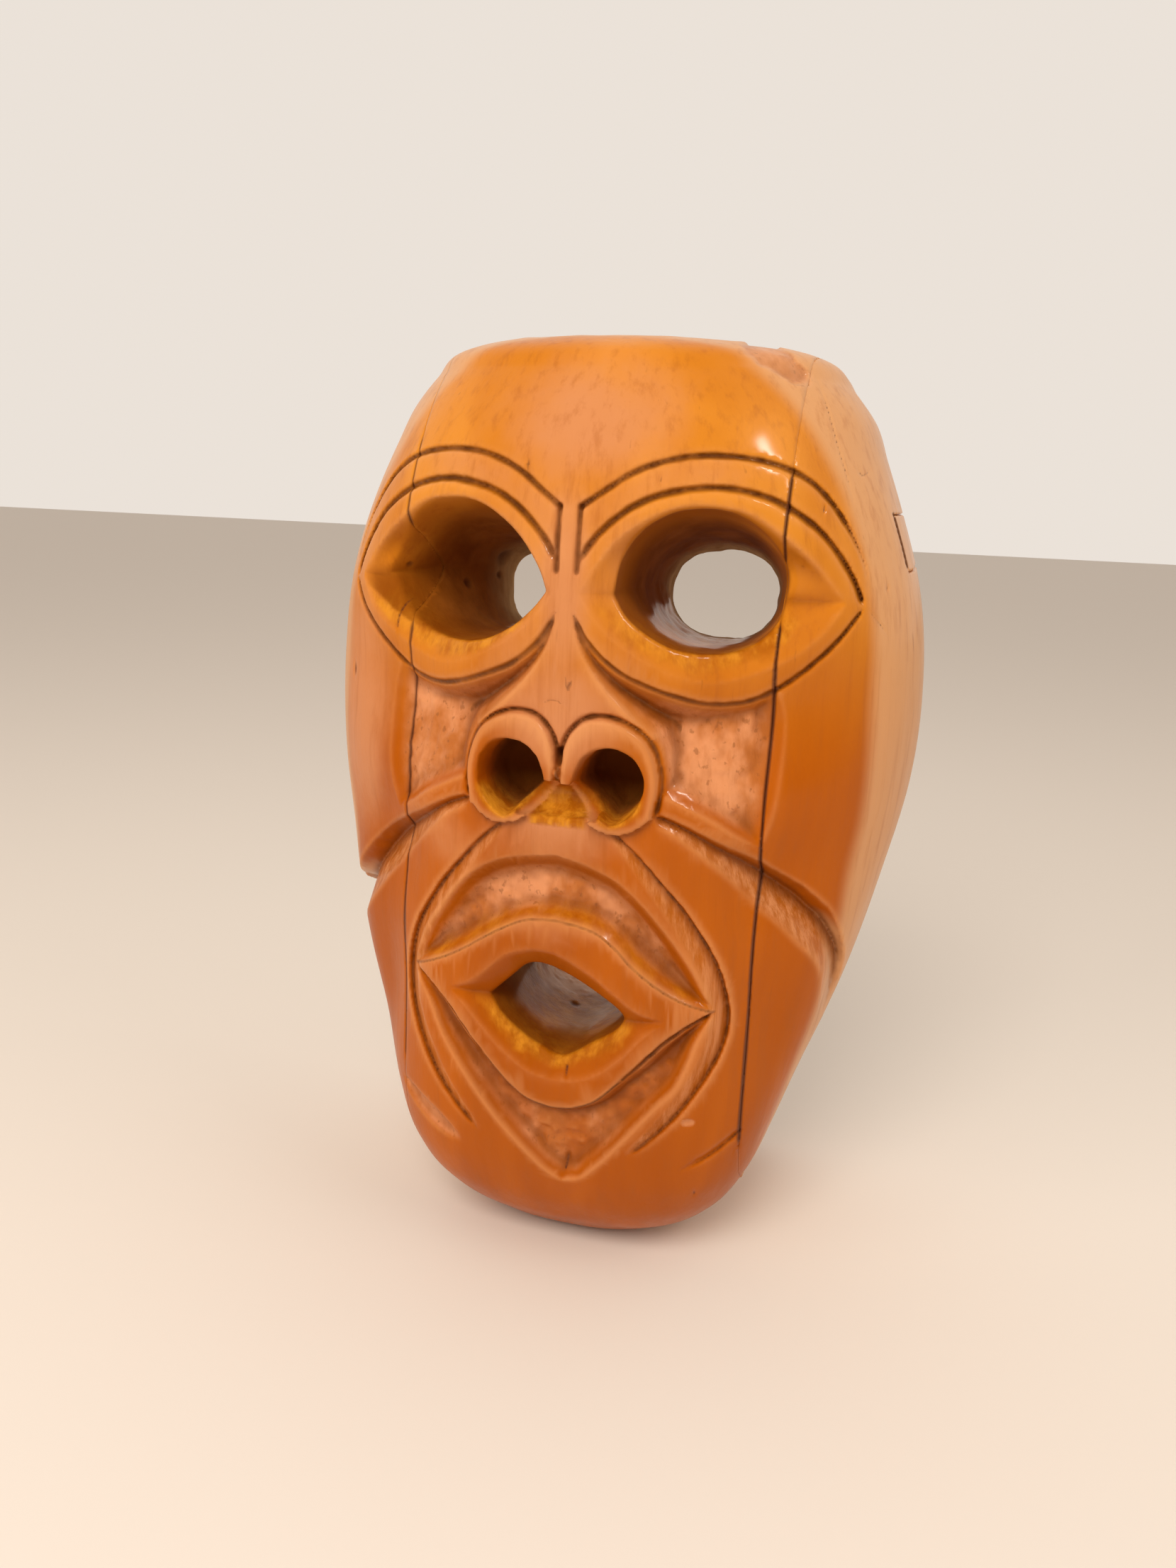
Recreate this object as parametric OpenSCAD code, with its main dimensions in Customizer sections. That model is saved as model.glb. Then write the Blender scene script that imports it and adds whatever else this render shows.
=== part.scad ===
// Carved wooden face mask, glued up from three upright blocks.
//
// Two frames are used. The face frame has its origin in the middle of the face, just above the
// nostrils, with +X to the viewer's right, +Y into the wood and +Z up. The finished part stands
// in the hanging frame: the same directions, with the origin at the mouth of the nail hole in
// the back rim of the forehead. The module hang() goes from the one to the other.

/* [Outer form] */
// Height of the crown above the middle of the face
crown_z = 117; // [115:0.5:119]
// Depth of the chin's lowest point below the middle of the face
chin_z = 172; // [170:0.5:174]
// Half of the width across the cheek bones
half_w = 98; // [96:0.5:100]
// Distance from the face frame's origin back to the flat back rim
back_y = 95; // [92:0.5:98]

/* [Blocks] */
// Distance of the glue line at the viewer's left from the middle
seam_left = 54; // [52:0.5:56]
// Distance of the glue line at the viewer's right from the middle
seam_right = 57; // [55:0.5:59]
// Diameter of the wooden pins across the glue lines
dowel_d = 8; // [6:0.5:9]
// Length of each pin inside the middle block
dowel_in = 14; // [10:1:14]
// Length of each pin inside a cheek block
dowel_out = 9; // [7:0.5:9]

/* [Eyes] */
// Width of each eye opening at the face
eye_w = 68; // [64:1:70]
// Width of the hole where the eye socket breaks out at the back
pupil_w = 35; // [30:1:38]
// Height of the hole where the eye socket breaks out at the back
pupil_h = 28; // [24:1:30]

/* [Nose and mouth] */
// Outer radius of the raised ring round each nostril
nostril_ring_r = 14.5; // [13:0.5:15.5]
// Depth of the blind nostrils
nostril_depth = 24; // [16:1:26]
// Half of the width of the lips, corner to corner
lip_half_w = 48; // [46:0.5:49]
// Depth of the trough carved round the lips
trough_depth = 8; // [5:0.5:9]
// Width of the folds that run from the nose across the cheeks
fold_w = 6; // [4:0.5:7]

/* [Back] */
// Depth of the hollow behind the face
hollow_depth = 31; // [26:1:34]
// Diameter of the nail hole in the back rim
nail_d = 6; // [4:0.5:7]
// Depth of the nail hole
nail_depth = 14; // [10:1:18]
// Height of the nail hole above the middle of the face
nail_z = 102; // [101:0.5:104]

/* [Hidden] */

wood = [0.80, 0.47, 0.20];
wood_pale = [0.84, 0.62, 0.42];
wood_pin = [0.72, 0.56, 0.38];

side_steps = 17;      // points on each side of a section
ring_steps = 34;      // sections from crown to chin
big = 400;            // half-space cutters

// Sections of the outer form, crown to chin, in the face frame:
// [z, half width, front y, squareness of the front corners, y where the side runs straight back]
stations = [
  [ crown_z,      0.53 * half_w, 25,   2.0,  70],
  [ crown_z - 3,  0.61 * half_w, 16.5, 2.0,  70],
  [ 106,          0.69 * half_w,  9,   2.0,  70],
  [  98,          0.755 * half_w, 3.5, 2.0,  70],
  [  85,          0.81 * half_w, -3.5, 2.1,  70],
  [  70,          0.87 * half_w, -8,   2.2,  70],
  [  45,          0.955 * half_w, -10.5, 2.25, 70],
  [  15,          half_w,        -11,  2.3,  72],
  [ -15,          0.99 * half_w, -11,  2.35, 72],
  [ -45,          0.93 * half_w, -11,  2.45, 66],
  [ -75,          0.85 * half_w, -10.5, 2.55, 58],
  [-100,          0.765 * half_w, -9.5, 2.8, 50],
  [-125,          0.675 * half_w, -7.5, 3.2, 48],
  [-142,          0.605 * half_w, -4,  3.4,  48],
  [-154,          0.535 * half_w,  1,  3.2,  48],
  [-163,          0.45 * half_w,   8,  2.8,  50],
  [-169,          0.34 * half_w,  17,  2.4,  52],
  [-chin_z,       0.2 * half_w,   29,  2.2,  54]
];
last = len(stations) - 1;

// A smooth curve through four neighbouring values, u from 0 to 1 between b and c
function curve(a, b, c, d, u) =
  b + 0.5 * u * (c - a + u * (2 * a - 5 * b + 4 * c - d + u * (3 * (b - c) + d - a)));

// The section at place t, from 0 at the crown to 1 at the chin
function section(t) =
  let (s = min(t * last, last - 0.0001), i = floor(s), u = s - i)
  let (a = stations[max(i - 1, 0)], b = stations[i])
  let (c = stations[i + 1], d = stations[min(i + 2, last)])
  [for (k = [0:4]) k == 0 ? b[0] + u * (c[0] - b[0]) : curve(a[k], b[k], c[k], d[k], u)];

// One point of a section's front, side by side from -90 to 90 degrees
function front_point(s, angle) =
  let (x = sin(angle), y = cos(angle), r = pow(pow(abs(x), s[3]) + pow(y, s[3]), -1 / s[3]))
  [s[1] * x * r, s[4] - (s[4] - s[2]) * y * r, s[0]];

function ring(s) = concat(
  [[-s[1], back_y, s[0]]],
  [for (k = [-side_steps:side_steps]) front_point(s, 90 * k / side_steps)],
  [[s[1], back_y, s[0]]]);

// The block's outer form before the face is cut into it
module outer_form() {
  rings = [for (i = [0:ring_steps]) ring(section(i / ring_steps))];
  n = len(rings[0]);
  points = [for (r = rings) each r];
  sides = [for (i = [0:ring_steps - 1], k = [0:n - 1])
    let (k2 = (k + 1) % n) each [
      [i * n + k, i * n + k2, (i + 1) * n + k2],
      [i * n + k, (i + 1) * n + k2, (i + 1) * n + k]]];
  top = [[for (k = [n - 1:-1:0]) k]];
  bottom = [[for (k = [0:n - 1]) ring_steps * n + k]];
  polyhedron(points = points, faces = concat(sides, top, bottom));
}

// A pointed oval between two corners, made of two arcs; up and down are the arcs' heights
function arc_side(w, h, steps) =
  let (r = (w * w / 4 + h * h) / (2 * h), half = asin(min(w / (2 * r), 1)))
  [for (k = [0:steps]) let (a = half - 2 * half * k / steps) [r * sin(a), r * cos(a) - r + h]];

module almond(w, up, down, steps = 9) {
  lower = arc_side(w, down, steps);
  polygon(concat(arc_side(w, up, steps), [for (k = [steps - 1:-1:1]) [lower[k][0], -lower[k][1]]]));
}

// Puts a flat outline into the face plane: its x stays x, its y becomes z, cut from y0 to y1
module through(y0, y1) {
  translate([0, y1, 0]) rotate([90, 0, 0]) linear_extrude(height = y1 - y0) children();
}

// The eye socket at +X: an almond at the face that narrows to a rough hole at the back
module eye_socket() {
  hull() {
    translate([37, -2, 46]) rotate([0, 0, 17]) through(-24, 1) almond(eye_w, 24, 24);
    translate([33, 0, 41]) through(62, 72) scale([pupil_w / 2, pupil_h / 2]) circle(1, $fn = 20);
  }
}

// The hollow under the eye at +X, between the nose and the cheek
module cheek_hollow() {
  translate([42, -21, -2]) sphere(r = 29, $fn = 40);
}

// Nose: two raised rings with a deep blind nostril in each
module nostril_rings() {
  for (side = [-1, 1]) {
    translate([side * 14.3, -1, -2]) rotate([90, 0, 0]) {
      cylinder(h = 10, r = nostril_ring_r, $fn = 48);
      translate([0, 0, 10]) cylinder(h = 4, r1 = nostril_ring_r, r2 = nostril_ring_r - 3, $fn = 48);
    }
  }
}

// The bridge between the eyes, which widens down to the nostrils
module nose_bridge() {
  hull() {
    translate([0, -1, 48]) sphere(r = 8, $fn = 20);
    for (side = [-1, 1]) translate([side * 8, 1, 4]) sphere(r = 14, $fn = 20);
  }
}

module nostrils() {
  for (side = [-1, 1]) {
    translate([side * 14.3, -20, -2]) rotate([-97, 0, side * -6])
      cylinder(h = nostril_depth + 5, r1 = 9.5, r2 = 7.5, $fn = 40);
  }
}

// The mouth: a trough round the lips, the lips left standing, and the tunnel behind them
module lip_trough() {
  through(-30, trough_depth - 9) difference() {
    union() {
      translate([0, -74]) almond(2 * lip_half_w, 38, 1);
      translate([0, -84]) almond(1.7 * lip_half_w, 1, 46);
    }
    translate([0, -77]) almond(2 * lip_half_w, 21, 38);
  }
}

module mouth_tunnel() {
  hull() {
    translate([0, 0, -80]) through(-14, -8) almond(66, 13, 25);
    translate([0, 0, -84]) through(58, 70) scale([20, 15]) circle(1, $fn = 20);
  }
}

// A V-shaped cut of the given width from one point to another
module v_cut(from, to, width) {
  d = to - from;
  length = norm(d);
  translate(from) rotate([0, acos(d[2] / length), atan2(d[1], d[0])]) rotate([0, 0, 45])
    translate([-width / 2, -width / 2, -1]) cube([width, width, length + 2]);
}

// The fold that separates the cheek from the muzzle, at +X, from the nose to the jaw's side
fold_path = [[27, -8, -16], [57, 0, -37], [80, 22, -56], [93, 52, -76]];

module cheek_fold() {
  for (i = [0:len(fold_path) - 2]) v_cut(fold_path[i], fold_path[i + 1], fold_w);
}

// The hollow at the back, a shallow bowl with a flat floor
module back_hollow() {
  hull() {
    for (side = [-1, 1]) {
      translate([side * 42, back_y, 42]) rounded_well(34);
      translate([side * 20, back_y, -104]) rounded_well(28);
    }
  }
}

module rounded_well(r) {
  rotate([90, 0, 0]) {
    cylinder(h = hollow_depth - 10, r = r, $fn = 32);
    cylinder(h = hollow_depth, r = r - 10, $fn = 32);
    translate([0, 0, -1]) cylinder(h = 1, r = r, $fn = 32);
  }
}

module nail_hole() {
  translate([0, back_y + 1, nail_z]) rotate([90, 0, 0])
    cylinder(h = nail_depth + 1, d = nail_d, $fn = 48);
}

// Where the pins cross the glue lines: [y, z]
dowel_places = [[52, 84], [40, -12], [44, -112]];

module pins(side, seam) {
  start = side > 0 ? seam - dowel_in : -seam - dowel_out;
  for (p = dowel_places) {
    translate([start, p[0], p[1]]) rotate([0, 90, 0])
      cylinder(h = dowel_in + dowel_out, d = dowel_d, $fn = 32);
  }
}

// The let-in repair near the rear edge of the temple at +X
patch_size = [9, 43, 17];
patch_x = 0.8 * half_w;
patch_low_z = 52;

module patch_block() {
  translate([patch_x, back_y - patch_size[1], patch_low_z]) cube(patch_size + [6, 1, 0]);
}

// Everything that is cut into the mask, whatever block it crosses
module carving() {
  for (side = [0, 1]) {
    mirror([side, 0, 0]) {
      eye_socket();
      cheek_hollow();
      cheek_fold();
    }
  }
  lip_trough();
  mouth_tunnel();
  back_hollow();
}

module hang() {
  translate([0, -back_y, -nail_z]) children();
}

module slab(x0, x1) {
  translate([x0, -big / 2, -big / 2]) cube([x1 - x0, big, big]);
}

module centre_block() {
  color(wood) hang() difference() {
    union() {
      intersection() {
        outer_form();
        slab(-seam_left, seam_right);
      }
      nostril_rings();
      nose_bridge();
    }
    carving();
    nostrils();
    nail_hole();
    pins(-1, seam_left);
    pins(1, seam_right);
  }
}

module left_cheek_block() {
  color(wood) hang() difference() {
    intersection() {
      outer_form();
      slab(-big / 2, -seam_left);
    }
    carving();
    pins(-1, seam_left);
  }
}

module right_cheek_block() {
  color(wood) hang() difference() {
    intersection() {
      outer_form();
      slab(seam_right, big / 2);
    }
    carving();
    pins(1, seam_right);
    patch_block();
  }
}

module temple_patch() {
  color(wood_pale) hang() intersection() {
    outer_form();
    patch_block();
  }
}

module left_dowels() {
  color(wood_pin) hang() pins(-1, seam_left);
}

module right_dowels() {
  color(wood_pin) hang() pins(1, seam_right);
}

centre_block();
left_cheek_block();
right_cheek_block();
temple_patch();
left_dowels();
right_dowels();
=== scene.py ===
"""A carved wooden face mask, sculpted around its packed blocks.

The mask is worked out as one solid field in the face frame (millimetres, +X to the viewer's
right, +Y into the wood, +Z up, origin between the nostrils' tops), the way a carver works: an
outer form, then cuts of a given depth, then the sockets and the hollow behind. The field is
split at the two glue lines and turned into one mesh for each block.
"""

import math
from concurrent.futures import ThreadPoolExecutor

import bpy
import numpy as np
from mathutils import Matrix, Vector


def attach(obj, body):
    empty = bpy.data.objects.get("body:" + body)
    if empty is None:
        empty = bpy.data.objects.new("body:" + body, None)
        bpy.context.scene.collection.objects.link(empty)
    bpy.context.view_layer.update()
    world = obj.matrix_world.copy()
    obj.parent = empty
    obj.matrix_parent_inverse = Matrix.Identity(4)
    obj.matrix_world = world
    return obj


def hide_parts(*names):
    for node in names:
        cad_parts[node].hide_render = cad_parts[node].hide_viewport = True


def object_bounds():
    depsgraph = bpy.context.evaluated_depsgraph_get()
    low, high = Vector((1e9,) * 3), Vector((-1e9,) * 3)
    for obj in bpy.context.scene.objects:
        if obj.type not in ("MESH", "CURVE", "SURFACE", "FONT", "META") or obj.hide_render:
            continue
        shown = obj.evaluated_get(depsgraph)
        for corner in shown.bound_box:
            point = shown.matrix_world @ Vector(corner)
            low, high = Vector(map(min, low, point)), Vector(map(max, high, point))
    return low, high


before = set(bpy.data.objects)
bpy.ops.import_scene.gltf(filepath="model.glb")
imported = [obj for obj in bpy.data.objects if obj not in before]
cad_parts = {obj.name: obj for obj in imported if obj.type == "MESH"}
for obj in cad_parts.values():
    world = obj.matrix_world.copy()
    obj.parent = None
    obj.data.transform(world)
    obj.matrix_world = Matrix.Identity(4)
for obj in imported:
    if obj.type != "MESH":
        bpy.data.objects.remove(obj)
cad_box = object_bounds()

# ---------------------------------------------------------------- driving sizes, millimetres
MM = 0.001
HANG = (0.0, 95.0, 102.0)          # the part's origin in the face frame: the nail hole's mouth
HALF_W = 98.0                      # half width across the cheek bones
CROWN_Z = 117.0
CHIN_Z = -172.0
BACK_Y = 95.0                      # the flat back rim
SEAM_LEFT = -54.0
SEAM_RIGHT = 57.0
SEAM_GAP = 0.02                    # half of the open width of a glue line
HOLLOW_Y = 64.0                    # floor of the hollow behind the face
EYE_EXIT_Y, MOUTH_EXIT_Y = 62.0, 58.0  # where the tunnels reach their openings at the back
NAIL_R, NAIL_DEPTH = 3.0, 14.0
VOXEL = 0.64
MAX_FACES = 190000                 # triangles a block may keep

# Sections of the outer form, crown to chin:
# height, half width, front y, squareness of the front corners, y where the side runs straight
SECTIONS = [
    (CROWN_Z, 0.53 * HALF_W, 25, 2.0, 70),
    (114, 0.61 * HALF_W, 16.5, 2.0, 70),
    (106, 0.69 * HALF_W, 9, 2.0, 70),
    (98, 0.755 * HALF_W, 3.5, 2.0, 70),
    (85, 0.81 * HALF_W, -3.5, 2.1, 70),
    (70, 0.87 * HALF_W, -8, 2.2, 70),
    (45, 0.955 * HALF_W, -10.5, 2.25, 70),
    (15, HALF_W, -11, 2.3, 72),
    (-15, 0.99 * HALF_W, -11, 2.35, 72),
    (-45, 0.93 * HALF_W, -11, 2.45, 66),
    (-75, 0.85 * HALF_W, -10.5, 2.55, 58),
    (-100, 0.765 * HALF_W, -9.5, 2.8, 50),
    (-125, 0.675 * HALF_W, -7.5, 3.2, 48),
    (-142, 0.605 * HALF_W, -4, 3.4, 48),
    (-154, 0.535 * HALF_W, 1, 3.2, 48),
    (-163, 0.45 * HALF_W, 8, 2.8, 50),
    (-169, 0.34 * HALF_W, 17, 2.4, 52),
    (CHIN_Z, 0.20 * HALF_W, 29, 2.2, 54),
]

# ---------------------------------------------------------------- lines drawn on the face, (x, z)
# One side's lines, at +x; the other side's are their mirror image.
BROW_INNER = [(2.9, 49.5), (3, 58), (3, 68.3)]
BROW = [(3, 68.3), (8.5, 72.2), (17, 78), (28, 82), (41, 83), (54, 81), (64, 75.5), (72, 66), (78, 55),
        (80, 46)]
LID_UPPER = [(3, 53), (7, 59.5), (14, 66.5), (22, 71.3), (32, 74), (42, 74.5), (53, 72), (63, 66.3),
             (69, 60.5), (75, 52), (79, 43.5)]
LID_LOWER = [(2.2, 40.5), (5, 34.5), (10, 28.5), (16, 24), (23, 20.7), (32, 17.5), (41, 15.5), (50, 16.2),
             (58, 20), (66, 26.5), (73, 34), (79, 43)]
RIM_UPPER = [(4, 45), (8, 52), (14, 60), (22, 66), (30, 69.3), (38, 69.8), (48, 68), (58, 61.5), (66, 54.5),
             (74, 45)]
RIM_LOWER = [(4, 45), (8, 39), (15, 32.5), (24, 27), (33, 23.3), (41, 22), (50, 24), (60, 28.7), (68, 35),
             (74, 44)]
SOCKET_MOUTH_R = [(12.5, 45), (14.5, 54.5), (20, 62.5), (28, 67.6), (37, 69), (46, 67.5), (54, 62.5),
                  (58.5, 56.5), (60, 50), (59, 44), (57.5, 38.5), (53, 33.5), (47, 30.5), (40, 29.3),
                  (33, 29.8),
                  (25, 32.8), (17, 38.5)]
SOCKET_MOUTH_L = [(6, 45), (9, 52), (15, 60), (22.5, 65.8), (30, 68.6), (38, 69), (48, 67), (57, 60.5),
                  (65, 53.5), (73, 44.5), (67, 39.5), (60, 35), (52, 31.5), (43, 29.4), (34, 28.8),
                  (25, 30.3), (16, 34.8), (10, 40)]
# the hole at the back of each socket: x, z, half width, half height, squareness
EXIT_RIGHT = (32.8, 41.4, 17.6, 14.2, 2.3)
EXIT_LEFT = (-27.5, 39.5, 13.2, 12.6, 2.9)

RING = [(28.3, -16.5), (29.4, -9), (29, -3.5), (27, 2.5), (23.5, 7), (18, 10.2), (12.5, 11.4), (7, 10.3),
        (3, 6.5), (0.8, 1.5), (0.2, -2.5)]
NOSTRIL = [(4.2, -5), (6.5, -0.5), (10.5, 2.6), (16, 3.3), (21.5, 1.2), (25, -4), (25.6, -9.5), (23.5, -15),
           (19.5, -19), (15, -20.5), (9, -15), (4, -9.5)]
BRIDGE = [(2.6, 38.5), (4, 32), (7.5, 25), (12.5, 18.5), (18.5, 12.5), (25.5, 5.5)]
LEDGE = [(29, -10), (36, -13.5), (44, -18), (51, -23), (57, -26)]
HOLLOW_SIDE = [(57, -26), (60, -15), (61, 0), (60.5, 12), (58, 20)]

# The fold runs out to the jaw's edge on the left and turns down inside it on the right.
FOLD_START = [(27.8, -16.5), (36.8, -20.7), (45, -26.3), (53, -32.3), (61, -39.5)]
FOLD_LEFT = FOLD_START + [(68, -47.5), (75, -57), (81, -67), (84, -78)]
FOLD_RIGHT = FOLD_START + [(68.5, -46), (75.5, -54.5), (79.3, -65), (79, -77), (76.5, -90)]
SMILE = [(16, -21.5), (24, -29), (31, -37), (37, -44.5), (43, -53.5), (47.5, -62), (50.5, -72), (51.5, -81),
         (50, -90), (45.5, -100), (39, -110.5), (32, -119), (24, -127)]

CRESCENT_L = [(0, -30.5), (-8, -31.5), (-15, -33), (-22, -36), (-28, -40.5), (-34, -47), (-39, -54),
              (-43.5, -61), (-47, -69), (-49, -75.5)]
CRESCENT_R = [(0, -30.5), (7, -32), (13, -34), (19, -37), (25, -42), (30.5, -48), (36, -55), (41, -62.5),
              (45, -70), (48, -76.5)]
LIP_TOP_L = [(0, -51), (-8, -51.8), (-15, -55), (-22, -59.5), (-29, -64.5), (-37, -69.5), (-49, -75.5)]
LIP_TOP_R = [(0, -51), (7, -51.8), (13, -53.5), (18, -57), (24, -63), (31, -68.5), (39, -73), (48, -76.5)]
RIM_TOP_L = [(0, -61), (-7, -61), (-15, -64), (-21, -69.5), (-27, -75), (-34, -78.5)]
RIM_TOP_R = [(0, -61), (6, -63.5), (13, -67.5), (19, -72), (26, -77), (34, -79.5)]
RIM_LOW_L = [(0, -103), (-7, -101.5), (-14, -97), (-21, -91), (-28, -84), (-34, -78.5)]
RIM_LOW_R = [(0, -103), (8, -102), (15, -98.5), (22, -92), (28, -84.5), (34, -79.5)]
MOUTH_HOLE = [(-22, -80.5), (-15.7, -74), (-8, -67.5), (1.4, -69), (10.7, -73), (19.9, -78.8), (20, -84.5),
              (11.4, -91.5), (2.4, -96.8), (-7, -94), (-16.6, -87)]
LIP_LOW_L = [(0, -113), (-7, -111.5), (-13, -107.5), (-20, -101), (-28, -93), (-36, -84), (-43, -78.5),
             (-49, -75.5)]
LIP_LOW_R = [(0, -113), (7, -112), (14, -108.5), (20, -102.5), (27, -95), (34, -87), (41, -81), (48, -76.5)]
CHIN_L = [(3, -140), (-3, -136), (-10, -129), (-17, -121.5), (-24, -113), (-31, -104), (-37, -95), (-42, -85),
          (-49, -75.5)]
CHIN_R = [(3, -140), (9, -138), (13, -134), (18, -128), (25, -118.5), (32, -109), (38, -101.5), (41.5, -93),
          (44, -85), (48, -76.5)]

# Small marks of use: hairline cracks and scratches, and pin-head flecks (x, z, length)
CRACKS = [[(-55.5, 40), (-59.5, 33), (-58.5, 26)], [(4.5, -97.5), (5, -103.5)],
          [(4.5, -131.5), (3.8, -139.5)]]
SCRATCHES = [[(57.8, 109), (63, 98), (67, 88), (71.5, 77), (75.5, 66)], [(0.4, 24.7), (2.0, 17.8), (3.6, 25)],
             [(72.8, 82), (74.5, 79.8), (76.6, 82)], [(80, 43), (84, 38), (87, 34)],
             [(-7, 13), (-2, 15), (3, 12)]]
FLECKS = [(-13.6, 79, 3.5), (24, 76.3, 2.5), (84.7, 48.4, 1.5), (-80, 13.6, 4), (45, -139.8, 2.5),
          (-6, 97, 2),
          (-22, -22, 2.5), (8, 31, 1.5), (66, 70, 2)]

# Small dark knots and holes in the openings' walls, (x, y, z, radius)
KNOTS = [(-41, 54, 50, 3.4), (-43, 54, 44, 1.5), (-48, 39, 42, 1.9), (-60, 20, 48, 1.3), (-5, 34, -97, 2.2)]
FLAKE_X, FLAKE_Z = 47, 111.5       # middle of the flake off the crown

# Pegs across each glue line, (y, z), and the inlay let into the right temple
DOWELS = [(52, 84), (40, -12), (44, -112)]
DOWEL_R, DOWEL_IN, DOWEL_OUT = 4.0, 14.0, 9.0
PATCH_X, PATCH_Y, PATCH_Z = 78.4, 52.0, (52.0, 69.0)


# ---------------------------------------------------------------- small numeric tools
def through_points(points, step=0.8):
    """A smooth line through the points, as closely spaced points."""
    p = np.array(points, float)
    p = np.vstack([2 * p[0] - p[1], p, 2 * p[-1] - p[-2]])
    out = []
    for a, b, c, d in zip(p[:-3], p[1:-2], p[2:-1], p[3:]):
        n = max(2, int(np.linalg.norm(c - b) / step))
        u = (np.arange(n) / n)[:, None]
        out.append(b + 0.5 * u * (c - a + u * (2 * a - 5 * b + 4 * c - d + u * (3 * (b - c) + d - a))))
    return np.vstack(out + [p[-2:-1]])


def smooth_rows(heights, values, z):
    """A smooth curve through values given at rising heights."""
    z = np.clip(z, heights[0], heights[-1])
    i = np.clip(np.searchsorted(heights, z, side="right") - 1, 0, len(heights) - 2)
    slope = np.gradient(values, heights)
    h = heights[i + 1] - heights[i]
    u = (z - heights[i]) / h
    return ((2 * u**3 - 3 * u**2 + 1) * values[i] + (u**3 - 2 * u**2 + u) * h * slope[i]
            + (3 * u**2 - 2 * u**3) * values[i + 1] + (u**3 - u**2) * h * slope[i + 1])


def step_up(a, b, v):
    """0 below a, 1 above b, smooth between."""
    u = np.clip((v - a) / (b - a), 0, 1)
    return u * u * (3 - 2 * u)


def soft_max(a, b, k):
    h = np.maximum(k - np.abs(a - b), 0) / k
    return np.maximum(a, b) + h * h * k * 0.25


def soft_min(a, b, k):
    return -soft_max(-a, -b, k)


def lattice_weights(coords, spacing, start):
    """Rows of weights that carry a random lattice to the coordinates, smoothly."""
    t = (coords - start) / spacing
    i = np.floor(t).astype(int)
    u = t - i
    u = u * u * (3 - 2 * u)
    w = np.zeros((len(coords), i.max() + 2), np.float32)
    rows = np.arange(len(coords))
    w[rows, i] = 1 - u
    w[rows, i + 1] = u
    return w


def noise_3d(rng, xs, ys, zs, size):
    """Smooth noise on a grid, about -1 to 1. size is the blob size along x, y and z."""
    wx = lattice_weights(xs, size[0], xs[0])
    wy = lattice_weights(ys, size[1], ys[0])
    wz = lattice_weights(zs, size[2], zs[0])
    grid = rng.uniform(-1, 1, (wz.shape[1], wy.shape[1], wx.shape[1])).astype(np.float32)
    grid = np.einsum("az,zyx->ayx", wz, grid, optimize=True)
    grid = np.einsum("by,ayx->abx", wy, grid, optimize=True)
    return np.matmul(grid, wx.T)


def noise_2d(rng, xs, zs, size):
    wx = lattice_weights(xs, size[0], xs[0])
    wz = lattice_weights(zs, size[1], zs[0])
    grid = rng.uniform(-1, 1, (wz.shape[1], wx.shape[1])).astype(np.float32)
    return wz @ grid @ wx.T


def blur(a, size):
    """A soft copy of a plan map; size is in millimetres."""
    n = max(1, int(round(size / VOXEL)))
    for _ in range(3):
        for axis in (0, 1):
            pad = [(0, 0), (0, 0)]
            pad[axis] = (n + 1, n)
            c = np.cumsum(np.pad(a, pad, mode="edge"), axis=axis, dtype=np.float64)
            take = [slice(None), slice(None)]
            take[axis] = slice(2 * n + 1, None)
            drop = [slice(None), slice(None)]
            drop[axis] = slice(None, -(2 * n + 1))
            a = ((c[tuple(take)] - c[tuple(drop)]) / (2 * n + 1)).astype(np.float32)
    return a


# ---------------------------------------------------------------- the grid
xs = np.arange(-101, 101 + VOXEL, VOXEL, dtype=np.float32)
ys = np.arange(-18, 97.5 + VOXEL, VOXEL, dtype=np.float32)
zs = np.arange(-175, 120 + VOXEL, VOXEL, dtype=np.float32)
X, Z = np.meshgrid(xs, zs)

_rows = np.array(SECTIONS[::-1], float)
half_w, front_y, square, side_y = (smooth_rows(_rows[:, 0], _rows[:, k], zs.astype(float))
                                   for k in range(1, 5))


def front_surface():
    """y of the outer form's front at every (x, z) of the plan."""
    a = np.clip(np.abs(X) / half_w[:, None], 0, 0.9995)
    n = square[:, None]
    return side_y[:, None] - (side_y - front_y)[:, None] * (1 - a**n) ** (1 / n)


def along_surface():
    """Distance from the middle along the surface, so that a line keeps its width on the turn
    of the cheek."""
    y = front_surface()
    slope = np.clip(np.gradient(y, xs, axis=1), -1.6, 1.6)
    length = np.cumsum(np.sqrt(1 + slope**2), axis=1) * VOXEL
    middle = len(xs) // 2
    return (length - length[:, middle:middle + 1]).astype(np.float32)


FRONT = front_surface()
S = along_surface()


def on_plan(field, x, z):
    """A plan map's value at any points."""
    fx = np.clip((x - xs[0]) / VOXEL, 0, len(xs) - 1.001)
    fz = np.clip((z - zs[0]) / VOXEL, 0, len(zs) - 1.001)
    i, j = fx.astype(int), fz.astype(int)
    u, v = fx - i, fz - j
    return ((field[j, i] * (1 - u) + field[j, i + 1] * u) * (1 - v)
            + (field[j + 1, i] * (1 - u) + field[j + 1, i + 1] * u) * v)


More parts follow.
